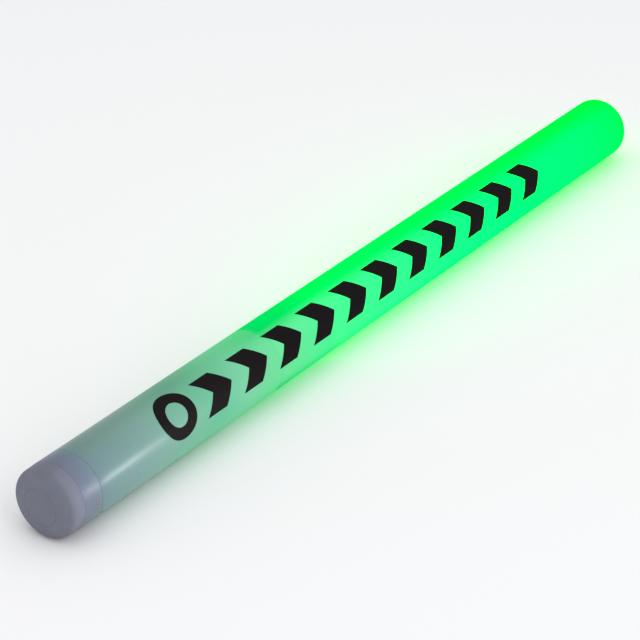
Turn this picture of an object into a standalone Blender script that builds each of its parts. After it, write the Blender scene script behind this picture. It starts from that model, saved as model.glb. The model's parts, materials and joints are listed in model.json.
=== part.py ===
"""A lighted traffic baton: a milky tube with a glowing front two thirds and a battery grip.

The baton lies on its side along +X, its end cap at -X and its tip at +X. The origin is on the
surface that it lies on, under the middle of its length. Every piece is placed by its station:
its distance in front of the outer face of the end cap, along the baton's axis.

A pack slides out of the grip: switch housing, three AAA cells in a frame, driver tray and LED
head. The end cap turns on the rear of the pack and locks it into the tube by two bayonet lugs.
"""

import math

import bmesh
import bpy

MM = 0.001

# The outside of the baton
BATON_LENGTH = 406 * MM
BATON_RADIUS = 14 * MM
TUBE_WALL = 1.2 * MM
CAP_HEAD_LENGTH = 18 * MM
CAP_EDGE_RADIUS = 4.5 * MM
TIP_DOME_LENGTH = 9.2 * MM
GRIP_LENGTH = 127 * MM

# Gaps
GAP = 0.2 * MM
SLIDING_GAP = 0.25 * MM
TOUCHING_GAP = 0.3 * MM

# The liner in the grip, and the pack that slides in it
LINER_WALL = 0.9 * MM
LINER_START = 22.6 * MM
TUBE_BORE = BATON_RADIUS - TUBE_WALL
LINER_RADIUS = TUBE_BORE - GAP
LINER_BORE = LINER_RADIUS - LINER_WALL
PACK_RADIUS = LINER_BORE - SLIDING_GAP

# The end cap's spigot, its seal and its bayonet lugs
SPIGOT_LENGTH = 12.2 * MM
SPIGOT_BORE = 10 * MM
SEAL_LAND_RADIUS = TUBE_BORE - SLIDING_GAP
SEAL_SECTION = 0.7 * MM
LUG_COUNT = 2
LUG_START = 24.6 * MM
LUG_END = 27 * MM
LUG_HALF_ANGLE = math.radians(10)
UNLOCK_ANGLE = math.radians(45)

# The push button and the latching switch behind it
BUTTON_RADIUS = 7.2 * MM
BUTTON_FLANGE_RADIUS = 9.2 * MM
BUTTON_TRAVEL = 1.5 * MM
CAP_FACE = 2.2 * MM
SWITCH_WIDTH = 8.5 * MM
SWITCH_HEIGHT = 6 * MM
PLUNGER_RADIUS = 1.7 * MM
BOARD = 1.2 * MM

# Three AAA cells, side by side round the axis
CELL_COUNT = 3
CELL_RADIUS = 5.15 * MM
CELL_CIRCLE = 6.05 * MM
CELL_LENGTH = 44.5 * MM
CELL_NUB = 1.2 * MM
CONTACT = 0.3 * MM
SPRING_HEIGHT = 3.9 * MM

# Stations along the axis, from the end cap's outer face
SEAL_MIDDLE = 20.3 * MM
CLIP_START = 27.4 * MM
CLIP_END = 28.8 * MM
PUSHER_END = 9.6 * MM
PLUNGER_REAR = 9.9 * MM
SWITCH_BOARD_REAR = 18.3 * MM
HOUSING_REAR = 8.2 * MM
HOUSING_FLANGE = 30.5 * MM
FRAME_REAR = 32.4 * MM
FRAME_END = 2.5 * MM
BAY_REAR = FRAME_REAR + FRAME_END
BAY_LENGTH = 49.8 * MM
BAY_FRONT = BAY_REAR + BAY_LENGTH
TRAY_REAR = BAY_FRONT + FRAME_END + GAP
TRAY_LENGTH = 25.6 * MM
TRAY_END = 2 * MM
HEAD_REAR = TRAY_REAR + TRAY_LENGTH + GAP
HEAD_WALL = 3.8 * MM
LED_BOARD_REAR = HEAD_REAR + HEAD_WALL + TOUCHING_GAP
LED_CIRCLE = 5 * MM
LED_RADIUS = 2.5 * MM
LED_COUNT = 3

# Roundness: steps in a full turn
ROUND = 32
MEDIUM = 20
SMALL = 12


def finish(name):
    """Colour, roughness and metallic value of each material."""
    looks = {
        "milky_tube": ((0.80, 0.90, 0.84), 0.28, 0.0),
        "cap_plastic": ((0.56, 0.55, 0.60), 0.50, 0.0),
        "button_rubber": ((0.52, 0.51, 0.57), 0.65, 0.0),
        "seal_rubber": ((0.03, 0.03, 0.03), 0.60, 0.0),
        "white_plastic": ((0.78, 0.78, 0.76), 0.45, 0.0),
        "black_plastic": ((0.03, 0.03, 0.035), 0.45, 0.0),
        "spring_steel": ((0.60, 0.60, 0.62), 0.30, 1.0),
        "nickel": ((0.72, 0.70, 0.66), 0.25, 1.0),
        "brass": ((0.80, 0.62, 0.30), 0.30, 1.0),
        "cell_wrap": ((0.10, 0.11, 0.12), 0.35, 0.0),
        "circuit_board": ((0.02, 0.22, 0.09), 0.40, 0.0),
        "resistor_ceramic": ((0.05, 0.05, 0.06), 0.40, 0.0),
        "led_epoxy": ((0.30, 0.95, 0.45), 0.08, 0.0),
        "clear_plastic": ((0.90, 0.95, 0.92), 0.05, 0.0),
        "mirror_plating": ((0.85, 0.85, 0.86), 0.10, 1.0),
        "red_insulation": ((0.65, 0.03, 0.02), 0.45, 0.0),
        "black_insulation": ((0.02, 0.02, 0.02), 0.45, 0.0),
        "white_insulation": ((0.80, 0.80, 0.78), 0.45, 0.0),
    }
    if name in bpy.data.materials:
        return bpy.data.materials[name]
    colour, roughness, metallic = looks[name]
    material = bpy.data.materials.new(name)
    material.use_nodes = True
    shader = material.node_tree.nodes["Principled BSDF"]
    shader.inputs["Base Color"].default_value = (*colour, 1.0)
    shader.inputs["Roughness"].default_value = roughness
    shader.inputs["Metallic"].default_value = metallic
    return material


def clear_scene():
    for old in list(bpy.data.objects):
        bpy.data.objects.remove(old)


def make_axis():
    """The empty that carries every piece: on the baton's axis, at the end cap's outer face."""
    axis = bpy.data.objects.new("baton_axis", None)
    axis.location = (-BATON_LENGTH / 2, 0, BATON_RADIUS * math.cos(math.pi / ROUND))
    bpy.context.scene.collection.objects.link(axis)
    return axis


def add(name, data, material, location=(0, 0, 0), rotation=(0, 0, 0)):
    """A new object on the baton's axis."""
    piece = bpy.data.objects.new(name, data)
    data.materials.append(finish(material))
    piece.location = location
    piece.rotation_euler = rotation
    piece.parent = AXIS
    bpy.context.scene.collection.objects.link(piece)
    return piece


def from_bmesh(name, shape, material, location=(0, 0, 0), rotation=(0, 0, 0)):
    bmesh.ops.remove_doubles(shape, verts=shape.verts, dist=1e-7)
    bmesh.ops.recalc_face_normals(shape, faces=shape.faces)
    mesh = bpy.data.meshes.new(name)
    shape.to_mesh(mesh)
    shape.free()
    mesh.shade_smooth()
    mesh.set_sharp_from_angle(angle=math.radians(35))
    return add(name, mesh, material, location, rotation)


def turned(name, outline, material, steps=ROUND, location=(0, 0, 0), rotation=(0, 0, 0)):
    """A lathe-turned piece. Its outline is (distance along the axis, radius) pairs, in order. An
    outline that starts and ends on the axis is solid; any other is a closed ring."""
    shape = bmesh.new()
    half_step = math.pi / steps
    points = [
        shape.verts.new((x, r * math.sin(half_step), r * math.cos(half_step))) for x, r in outline
    ]
    solid = outline[0][1] == 0 and outline[-1][1] == 0
    ends = list(zip(points, points[1:])) + ([] if solid else [(points[-1], points[0])])
    edges = [shape.edges.new(pair) for pair in ends]
    bmesh.ops.spin(
        shape, geom=points + edges, axis=(1, 0, 0), cent=(0, 0, 0), steps=steps, angle=math.tau,
        use_merge=True, use_duplicate=False,
    )
    return from_bmesh(name, shape, material, location, rotation)


def rod(name, length, radius, material, steps=MEDIUM, location=(0, 0, 0), rotation=(0, 0, 0)):
    outline = [(0, 0), (0, radius), (length, radius), (length, 0)]
    return turned(name, outline, material, steps, location, rotation)


def sector(name, start, end, inner, outer, middle, half_angle, material, steps=8):
    """Part of a ring, between two stations and two radii, centred on an angle from +Z."""
    shape = bmesh.new()
    first = middle - half_angle
    corners = [
        shape.verts.new((x, r * math.sin(first), r * math.cos(first)))
        for x, r in ((start, inner), (end, inner), (end, outer), (start, outer))
    ]
    face = shape.faces.new(corners)
    bmesh.ops.spin(
        shape, geom=[face], axis=(1, 0, 0), cent=(0, 0, 0), steps=steps, angle=-2 * half_angle
    )
    return from_bmesh(name, shape, material)


def block(name, low, high, material, bevel=0.0):
    """A box between two corners, with its edges rounded off."""
    size = [b - a for a, b in zip(low, high)]
    middle = [(a + b) / 2 for a, b in zip(low, high)]
    shape = bmesh.new()
    bmesh.ops.create_cube(shape, size=1.0)
    bmesh.ops.scale(shape, vec=size, verts=shape.verts)
    if bevel:
        bmesh.ops.bevel(shape, geom=shape.edges, offset=bevel, segments=1, affect="EDGES")
    return from_bmesh(name, shape, material, middle)


def stadium(name, centres, radius, start, thickness, material):
    """A thin plate whose outline wraps round one or two centres, given as (y, z)."""
    shape = bmesh.new()
    for y, z in centres:
        for k in range(SMALL):
            turn = math.tau * k / SMALL
            for x in (start, start + thickness):
                shape.verts.new((x, y + radius * math.sin(turn), z + radius * math.cos(turn)))
    bmesh.ops.convex_hull(shape, input=shape.verts)
    return from_bmesh(name, shape, material)


def wire(name, points, radius, material, sides=2):
    """A round wire along the given points."""
    curve = bpy.data.curves.new(name, "CURVE")
    curve.dimensions = "3D"
    spline = curve.splines.new("POLY")
    spline.points.add(len(points) - 1)
    for point, place in zip(spline.points, points):
        point.co = (*place, 1.0)
    curve.bevel_depth = radius
    curve.bevel_resolution = sides
    curve.use_fill_caps = True
    return add(name, curve, material)


def smooth_route(knots, per_span=5):
    """Points along a smooth curve through the knots (Catmull-Rom)."""
    ends = [knots[0]] + list(knots) + [knots[-1]]
    route = []
    for before, a, b, after in zip(ends, ends[1:], ends[2:], ends[3:]):
        for k in range(per_span):
            t = k / per_span
            route.append([
                0.5 * (2 * q + (r - p) * t + (2 * p - 5 * q + 4 * r - s) * t**2
                       + (3 * q - p - 3 * r + s) * t**3)
                for p, q, r, s in zip(before, a, b, after)
            ])
    return route + [list(knots[-1])]


def cut(piece, tool):
    """Takes the tool's shape out of the piece."""
    combine(piece, tool, "DIFFERENCE")


def join(piece, tool):
    """Moulds the tool's shape onto the piece."""
    combine(piece, tool, "UNION")


def combine(piece, tool, operation):
    tool.hide_render = True
    tool.display_type = "WIRE"
    modifier = piece.modifiers.new(operation.lower(), "BOOLEAN")
    modifier.operation = operation
    modifier.solver = "EXACT"
    modifier.object = tool


def around(count, radius, first=0.0):
    """(y, z) of points spaced evenly round the axis. The first one is at an angle from +Z."""
    angles = [first + math.tau * k / count for k in range(count)]
    return [(radius * math.sin(a), radius * math.cos(a)) for a in angles]


def quarter(depth, radius, steps):
    """A quarter of an ellipse, as (distance, height) from (0, radius) down to (depth, 0)."""
    turns = [math.pi / 2 * k / steps for k in range(steps + 1)]
    return [(depth * math.sin(t), radius * math.cos(t)) for t in turns]


def make_diffuser_tube():
    start = CAP_HEAD_LENGTH + GAP
    end = BATON_LENGTH - TIP_DOME_LENGTH - GAP
    outline = [(start, TUBE_BORE), (start, BATON_RADIUS), (end, BATON_RADIUS), (end, TUBE_BORE)]
    turned("diffuser_tube", outline, "milky_tube")


def make_tip_cap():
    """A domed cap whose spigot is bonded into the front of the tube."""
    seam = BATON_LENGTH - TIP_DOME_LENGTH
    spigot = TUBE_BORE - GAP
    spigot_end = seam - 8 * MM
    wall = TUBE_WALL
    dome = [(seam + x, r) for x, r in quarter(TIP_DOME_LENGTH, BATON_RADIUS, 7)]
    hollow = [(seam + x, r) for x, r in quarter(TIP_DOME_LENGTH - wall, spigot - wall, 6)]
    outline = dome[::-1] + [(seam, spigot), (spigot_end, spigot), (spigot_end, spigot - wall)]
    dome_tip_to_spigot = [(x, r if r > 1e-6 else 0) for x, r in outline + hollow]
    turned("tip_cap", dome_tip_to_spigot, "milky_tube")


def make_grip_liner():
    """An opaque tube in the grip, with a J-shaped slot for each bayonet lug."""
    outline = [
        (LINER_START, LINER_BORE), (LINER_START, LINER_RADIUS),
        (GRIP_LENGTH, LINER_RADIUS), (GRIP_LENGTH, LINER_BORE),
    ]
    liner = turned("grip_liner", outline, "white_plastic")
    inner, outer = LINER_BORE - MM, LINER_RADIUS + MM
    room = math.radians(2)
    slot_start, slot_end = LUG_START - TOUCHING_GAP, LUG_END + TOUCHING_GAP
    for k in range(LUG_COUNT):
        locked = math.tau * k / LUG_COUNT
        run = (UNLOCK_ANGLE + 2 * (LUG_HALF_ANGLE + room)) / 2
        entry = sector(
            f"slot_entry_{k}", LINER_START - MM, slot_end, inner, outer, locked + UNLOCK_ANGLE,
            LUG_HALF_ANGLE + room, "white_plastic",
        )
        turn = sector(
            f"slot_run_{k}", slot_start, slot_end, inner, outer, locked + UNLOCK_ANGLE / 2, run,
            "white_plastic", steps=12,
        )
        join(entry, turn)
        cut(liner, entry)


def make_end_cap():
    """The rounded cap: button hole in its face, seal groove and bayonet lugs on its spigot."""
    spigot = PACK_RADIUS
    spigot_end = CAP_HEAD_LENGTH + SPIGOT_LENGTH
    groove_start, groove_end, groove_floor = SEAL_MIDDLE - 1.1 * MM, SEAL_MIDDLE + 1.1 * MM, 10.9 * MM
    clip_start, clip_end, clip_floor = CLIP_START, CLIP_END, 10.7 * MM
    land_end = SEAL_MIDDLE + 2.1 * MM
    hole = BUTTON_RADIUS + TOUCHING_GAP
    edge = quarter(CAP_EDGE_RADIUS, CAP_EDGE_RADIUS, 6)
    rounded = [
        (CAP_EDGE_RADIUS - depth, BATON_RADIUS - CAP_EDGE_RADIUS + height) for depth, height in edge
    ]
    outline = [
        (CAP_FACE, SPIGOT_BORE), (CAP_FACE, hole), (0.4 * MM, hole), (0, hole + 0.4 * MM),
        *rounded[::-1],
        (CAP_HEAD_LENGTH, BATON_RADIUS), (CAP_HEAD_LENGTH, SEAL_LAND_RADIUS),
        (groove_start, SEAL_LAND_RADIUS), (groove_start, groove_floor),
        (groove_end, groove_floor), (groove_end, SEAL_LAND_RADIUS),
        (land_end, SEAL_LAND_RADIUS), (land_end, spigot), (spigot_end, spigot),
        (spigot_end, SPIGOT_BORE), (clip_end, SPIGOT_BORE), (clip_end, clip_floor),
        (clip_start, clip_floor), (clip_start, SPIGOT_BORE),
    ]
    cap = turned("end_cap", outline, "cap_plastic")
    for k in range(LUG_COUNT):
        lug = sector(
            f"lug_{k}", LUG_START, LUG_END, spigot - 0.3 * MM, LINER_RADIUS - 0.15 * MM,
            math.tau * k / LUG_COUNT, LUG_HALF_ANGLE, "cap_plastic", steps=4,
        )
        join(cap, lug)


def make_cap_seal():
    middle, radius = SEAL_MIDDLE, 11.8 * MM
    turns = [math.tau * k / 8 for k in range(8)]
    outline = [
        (middle + SEAL_SECTION * math.cos(t), radius + SEAL_SECTION * math.sin(t)) for t in turns
    ]
    turned("cap_seal", outline, "seal_rubber")


def make_swivel_clip():
    """The split ring that holds the end cap on the switch housing and lets it turn."""
    sector(
        "swivel_clip", CLIP_START + GAP, CLIP_END - GAP, 9.1 * MM, 10.5 * MM, math.pi, math.radians(150),
        "spring_steel", steps=24,
    )


def make_push_button():
    """A soft button, flush with the end cap's face, with a flange inside and a pusher behind."""
    front, skin, flange_end = 0.3 * MM, 1.7 * MM, 3.4 * MM
    pusher_end, pusher_radius = PUSHER_END, 2 * MM
    flange_start = CAP_FACE + TOUCHING_GAP
    hollow = BUTTON_RADIUS - 1.2 * MM
    outline = [
        (front, 0), (front, BUTTON_RADIUS - 0.6 * MM), (front + 0.6 * MM, BUTTON_RADIUS),
        (flange_start, BUTTON_RADIUS), (flange_start, BUTTON_FLANGE_RADIUS),
        (flange_end, BUTTON_FLANGE_RADIUS), (flange_end, hollow), (skin, hollow),
        (skin, pusher_radius), (pusher_end, pusher_radius), (pusher_end, 0),
    ]
    turned("push_button", outline, "button_rubber")


def make_switch():
    """The latching switch on its round board, held by two screws in the switch housing."""
    rear = SWITCH_BOARD_REAR - GAP - SWITCH_HEIGHT
    half = SWITCH_WIDTH / 2
    body = block(
        "switch_body", (rear, -half, -half), (rear + SWITCH_HEIGHT, half, half), "black_plastic",
        bevel=0.4 * MM,
    )
    bore = PLUNGER_RADIUS + GAP
    cut(body, rod("switch_bore", 5 * MM, bore, "black_plastic", location=(rear - MM, 0, 0)))
    turned(
        "switch_plunger",
        [(0, 0), (0, 1.3 * MM), (0.4 * MM, PLUNGER_RADIUS), (4.1 * MM, PLUNGER_RADIUS),
         (4.1 * MM, 0)],
        "white_plastic", MEDIUM, (PLUNGER_REAR, 0, 0),
    )
    board = rod("switch_board", BOARD, 8.1 * MM, "circuit_board", ROUND, (SWITCH_BOARD_REAR, 0, 0))
    for k, (y, z) in enumerate(around(2, 6.4 * MM, math.pi / 2), 1):
        hole = rod(f"switch_board_hole_{k}", 4 * MM, 1 * MM, "circuit_board", SMALL, (17 * MM, y, z))
        cut(board, hole)
        screw(f"switch_screw_{k}", (SWITCH_BOARD_REAR - GAP, y, z), 4.6 * MM)


def screw(name, seat, length, rotation=(0, 0, 0)):
    """A pan-head screw. Its shank runs along +X from its seat, its head stands the other way."""
    head, height, shank = 1.4 * MM, 0.9 * MM, 0.8 * MM
    recess = 0.6 * MM
    outline = [
        (recess - height, 0), (recess - height, 0.5 * MM), (-height, 0.6 * MM),
        (-height, head - 0.4 * MM), (0.4 * MM - height, head), (0, head), (0, shank),
        (length - 0.6 * MM, shank), (length, 0),
    ]
    return turned(name, outline, "spring_steel", SMALL, seat, rotation)


def make_switch_housing():
    """The rear cup of the pack. The end cap turns on it; the switch board screws into it."""
    boss, groove_floor = SPIGOT_BORE - 0.4 * MM, 8.9 * MM
    clip_start, clip_end = CLIP_START, CLIP_END
    cavity, ledge, core = 8.4 * MM, SWITCH_BOARD_REAR + BOARD + GAP, 4.6 * MM
    step, end, hollow = ledge + 5.5 * MM, FRAME_REAR - GAP, 7.9 * MM
    outline = [
        (HOUSING_REAR, cavity), (HOUSING_REAR, boss), (clip_start, boss),
        (clip_start, groove_floor), (clip_end, groove_floor), (clip_end, boss),
        (HOUSING_FLANGE, boss), (HOUSING_FLANGE, PACK_RADIUS), (end, PACK_RADIUS), (end, hollow),
        (step, hollow), (step, core), (ledge, core), (ledge, cavity),
    ]
    housing = turned("switch_housing", outline, "white_plastic")
    for k, (y, z) in enumerate(around(2, 6.4 * MM, math.pi / 2), 1):
        cut(housing, rod(f"pilot_{k}", 6 * MM, 1 * MM, "white_plastic", SMALL, (19 * MM, y, z)))
    lead = rod("lead_hole", 8 * MM, 1 * MM, "white_plastic", SMALL, (18.5 * MM, 0, CELL_CIRCLE))
    cut(housing, lead)


def make_battery_frame():
    """Two end discs and three ribs between the cells, moulded in one piece."""
    discs = [("frame_rear_disc", FRAME_REAR), ("battery_frame", BAY_FRONT)]
    rear, frame = [
        rod(name, FRAME_END, PACK_RADIUS, "black_plastic", ROUND, (start, 0, 0))
        for name, start in discs
    ]
    join(frame, rear)
    for k in range(CELL_COUNT):
        rib_angle = math.tau * (k + 0.5) / CELL_COUNT
        join(frame, make_rib(f"frame_rib_{k + 1}", rib_angle))
    lead_places = ((FRAME_REAR - MM, 0), (BAY_FRONT - MM, 2))
    for start, cell in lead_places:
        y, z = around(CELL_COUNT, CELL_CIRCLE)[cell]
        hole = rod(f"frame_lead_hole_{cell}", 4.5 * MM, 1 * MM, "black_plastic", SMALL, (start, y, z))
        cut(frame, hole)
    for name, start in (("rear_core", FRAME_REAR), ("front_core", BAY_FRONT)):
        cut(frame, rod(name, 4.5 * MM, 1.4 * MM, "black_plastic", SMALL, (start - MM, 0, 0)))
    for k, (y, z) in enumerate(rib_screw_places(), 1):
        place = (BAY_FRONT - 3 * MM, y, z)
        cut(frame, rod(f"frame_pilot_{k}", 8 * MM, 1 * MM, "black_plastic", SMALL, place))


def make_rib(name, angle):
    """A rib of the battery frame. Its sides follow the two cells beside it."""
    reach = CELL_RADIUS + GAP
    outer = PACK_RADIUS - 0.2 * MM
    middle, apart = CELL_CIRCLE * math.cos(math.pi / 3), CELL_CIRCLE * math.sin(math.pi / 3)
    turns = [math.radians(50 + 6.5 * k) for k in range(4)]
    side = [(middle + reach * math.sin(t), apart - reach * math.cos(t)) for t in turns]
    rim = [(outer * math.cos(t), outer * math.sin(t)) for t in (math.radians(17), math.radians(6))]
    half = side + rim
    profile = half + [(u, -v) for u, v in reversed(half)]
    shape = bmesh.new()
    corners = [
        shape.verts.new((
            BAY_REAR - MM,
            u * math.sin(angle) + v * math.cos(angle),
            u * math.cos(angle) - v * math.sin(angle),
        ))
        for u, v in profile
    ]
    sides = bmesh.ops.extrude_face_region(shape, geom=[shape.faces.new(corners)])
    moved = [item for item in sides["geom"] if isinstance(item, bmesh.types.BMVert)]
    bmesh.ops.translate(shape, verts=moved, vec=(BAY_LENGTH + 2 * MM, 0, 0))
    return from_bmesh(name, shape, "black_plastic")


def rib_screw_places():
    """(y, z) of the two screws in the upper ribs of the battery frame."""
    upper_left, _, upper_right = around(CELL_COUNT, 8.7 * MM, math.pi / CELL_COUNT)
    return upper_left, upper_right


def make_cells():
    """Three AAA cells in series: the first and third face forwards, the second backwards."""
    barrel = CELL_LENGTH - CELL_NUB
    nub = 1.9 * MM
    outline = [
        (0, 0), (0, CELL_RADIUS - 0.9 * MM), (0.5 * MM, CELL_RADIUS),
        (barrel - 0.6 * MM, CELL_RADIUS), (barrel, CELL_RADIUS - 0.7 * MM), (barrel, nub),
        (CELL_LENGTH - 0.3 * MM, nub), (CELL_LENGTH, nub - 0.3 * MM), (CELL_LENGTH, 0),
    ]
    free = BAY_LENGTH - CELL_LENGTH
    for k, (y, z) in enumerate(around(CELL_COUNT, CELL_CIRCLE), 1):
        forwards = k != 2
        nub_gap = CONTACT + 2 * GAP
        start = BAY_REAR + (free - nub_gap if forwards else nub_gap + CELL_LENGTH)
        turn = 0 if forwards else math.pi
        turned(f"battery_{k}", outline, "cell_wrap", MEDIUM, (start, y, z), (0, 0, turn))
        spring_start = BAY_REAR + GAP + CONTACT if forwards else BAY_FRONT - GAP - CONTACT
        make_battery_spring(k, spring_start, 1 if forwards else -1, y, z)


def make_battery_spring(number, start, way, y, z):
    """A conical spring from its contact plate to the flat end of a cell."""
    turns, per_turn, wire_radius = 3.0, 12, 0.28 * MM
    wide, narrow = 3.6 * MM, 2.2 * MM
    rise = SPRING_HEIGHT - 2 * wire_radius - 3 * GAP
    count = int(turns * per_turn)
    points = []
    for k in range(count + 1):
        share = k / count
        radius = wide + (narrow - wide) * share
        turn = math.tau * turns * share
        along = start + way * (GAP + wire_radius + rise * share)
        points.append((along, y + radius * math.sin(turn), z + radius * math.cos(turn)))
    wire(f"battery_spring_{number}", points, wire_radius, "spring_steel", sides=1)


def make_contacts():
    """Plates at the two ends of the battery bay: each end has one bridge and one terminal."""
    first, second, third = around(CELL_COUNT, CELL_CIRCLE)
    rear, front = BAY_REAR + GAP, BAY_FRONT - GAP - CONTACT
    pad = 3.9 * MM
    stadium("rear_terminal", [first], pad, rear, CONTACT, "nickel")
    bridges = (("rear_bridge", [second, third], rear), ("front_bridge", [first, second], front))
    for name, pads, start in bridges:
        bridge = stadium(name, pads, pad, start, CONTACT, "nickel")
        lead = rod(f"{name}_notch", 2 * MM, 1.2 * MM, "nickel", SMALL, (start - MM, 0, 0))
        cut(bridge, lead)
    stadium("front_terminal", [third], pad, front, CONTACT, "nickel")


def make_driver_tray():
    """A trough with an end disc at each end. It carries the driver board on its two ledges."""
    tray = rod("driver_tray", TRAY_LENGTH, PACK_RADIUS, "white_plastic", ROUND, (TRAY_REAR, 0, 0))
    start, end = TRAY_REAR + TRAY_END, TRAY_REAR + TRAY_LENGTH - TRAY_END
    ledge = -BOARD / 2 - GAP
    wide = 2 * BATON_RADIUS
    cut(tray, block("tray_top", (start, -wide, ledge), (end, wide, wide), "white_plastic"))
    trough = rod("tray_trough", end - start, 6.6 * MM, "white_plastic", MEDIUM, (start, 0, 0))
    cut(tray, trough)
    y, z = around(CELL_COUNT, CELL_CIRCLE)[2]
    holes = [
        ("tray_lead_hole", TRAY_REAR - MM, 2.2 * MM, 0, 0.9 * MM),
        ("tray_terminal_hole", TRAY_REAR - MM, 1 * MM, y, z),
        ("tray_led_hole", end - MM, 2.6 * MM, 0, 3 * MM),
    ]
    for k, (sy, sz) in enumerate(rib_screw_places(), 1):
        holes.append((f"tray_rear_screw_hole_{k}", TRAY_REAR - MM, 1 * MM, sy, sz))
        holes.append((f"tray_front_screw_hole_{k}", end - MM, 1 * MM, sy, sz))
        screw(f"frame_screw_{k}", (start + GAP, sy, sz), 7 * MM, (0, 0, math.pi))
        screw(f"head_screw_{k}", (end - GAP, sy, sz), 5 * MM)
    for y_side in (-1, 1):
        holes.append((f"tray_board_pilot_{y_side}", 0, 1 * MM, y_side * 8.2 * MM, 0))
    for name, place, radius, y, z in holes:
        if "board_pilot" in name:
            middle = (start + end) / 2
            drill = rod(name, 6 * MM, radius, "white_plastic", SMALL,
                        (middle, y, -5 * MM), (0, -math.pi / 2, 0))
        else:
            drill = rod(name, 4 * MM, radius, "white_plastic", SMALL, (place, y, z))
        cut(tray, drill)


def make_driver_board():
    """The board with the flasher chip, a capacitor and three resistors."""
    start = TRAY_REAR + TRAY_END + 0.5 * MM
    end = TRAY_REAR + TRAY_LENGTH - TRAY_END - 0.5 * MM
    middle = (start + end) / 2
    half, top = 9.6 * MM, BOARD / 2
    board = block("driver_board", (start, -half, -top), (end, half, top), "circuit_board")
    for k, side in enumerate((-1, 1), 1):
        y = side * 8.2 * MM
        upright = (0, -math.pi / 2, 0)
        drill = rod(f"board_hole_{k}", 4 * MM, 1 * MM, "circuit_board", SMALL,
                    (middle, y, -2 * MM), upright)
        cut(board, drill)
        screw(f"driver_screw_{k}", (middle, y, top + GAP), 4.2 * MM, (0, math.pi / 2, 0))
    floor = top + GAP
    chip = (middle - 6 * MM, -5.5 * MM, floor)
    block("driver_chip", chip, (chip[0] + 5 * MM, chip[1] + 4 * MM, floor + 1.5 * MM),
          "black_plastic", bevel=0.2 * MM)
    can = [(0, 0), (0, 2.6 * MM), (1 * MM, 2.6 * MM), (1.1 * MM, 2.4 * MM), (5 * MM, 2.4 * MM),
           (5.4 * MM, 2 * MM), (5.4 * MM, 0)]
    turned("capacitor", can, "mirror_plating", MEDIUM, (middle - 4 * MM, 4.2 * MM, floor),
           (0, -math.pi / 2, 0))
    for k in range(LED_COUNT):
        x = middle + 1.5 * MM + 2.8 * MM * k
        block(f"resistor_{k + 1}", (x, -6.4 * MM, floor), (x + 1.6 * MM, -3.2 * MM, floor + 0.6 * MM),
              "resistor_ceramic", bevel=0.1 * MM)


def make_led_head():
    """The cup at the front of the pack, with its LEDs, holder plate, reflector and lens."""
    front = GRIP_LENGTH
    cavity, hole = 10.6 * MM, 2.6 * MM
    floor = HEAD_REAR + HEAD_WALL
    outline = [
        (HEAD_REAR, hole + 3 * MM), (HEAD_REAR, PACK_RADIUS), (front, PACK_RADIUS),
        (front, cavity), (floor, cavity), (floor, hole + 3 * MM),
    ]
    housing = turned("led_housing", outline, "white_plastic")
    for k, (y, z) in enumerate(rib_screw_places(), 1):
        drill = rod(f"head_pilot_{k}", 5.5 * MM, 1 * MM, "white_plastic", SMALL,
                    (HEAD_REAR - 2 * MM, y, z))
        cut(housing, drill)
    inside = cavity - SLIDING_GAP
    rod("led_board", BOARD, inside, "circuit_board", ROUND, (LED_BOARD_REAR, 0, 0))
    led_rear = LED_BOARD_REAR + BOARD + GAP
    dome = [
        (5.1 * MM + x, r if r > 1e-6 else 0) for x, r in quarter(LED_RADIUS, LED_RADIUS, 5)
    ]
    bulb = [(0, 0), (0, 2.9 * MM), (MM, 2.9 * MM), (MM, LED_RADIUS), *dome]
    plate_rear = led_rear + 1.4 * MM
    plate = rod("led_holder", 1.2 * MM, inside, "white_plastic", ROUND, (plate_rear, 0, 0))
    for k, (y, z) in enumerate(around(LED_COUNT, LED_CIRCLE), 1):
        turned(f"led_{k}", bulb, "led_epoxy", MEDIUM, (led_rear, y, z))
        drill = rod(f"led_hole_{k}", 4 * MM, LED_RADIUS + GAP, "white_plastic", MEDIUM,
                    (plate_rear - MM, y, z))
        cut(plate, drill)
    ring_rear = plate_rear + 1.2 * MM + GAP
    ring = [
        (ring_rear, 8.2 * MM), (ring_rear, inside), (front - GAP, inside),
        (front - GAP, inside - 0.5 * MM),
    ]
    turned("reflector", ring, "mirror_plating")
    lens_rear = front + GAP
    bulge = [(x, r if r > 1e-6 else 0) for x, r in quarter(1.4 * MM, PACK_RADIUS - MM, 4)]
    lens = [(lens_rear, 0), (lens_rear, PACK_RADIUS), (lens_rear + 0.8 * MM, PACK_RADIUS)]
    lens += [(lens_rear + 0.8 * MM + x, r) for x, r in bulge]
    turned("lens", lens, "clear_plastic")


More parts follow.
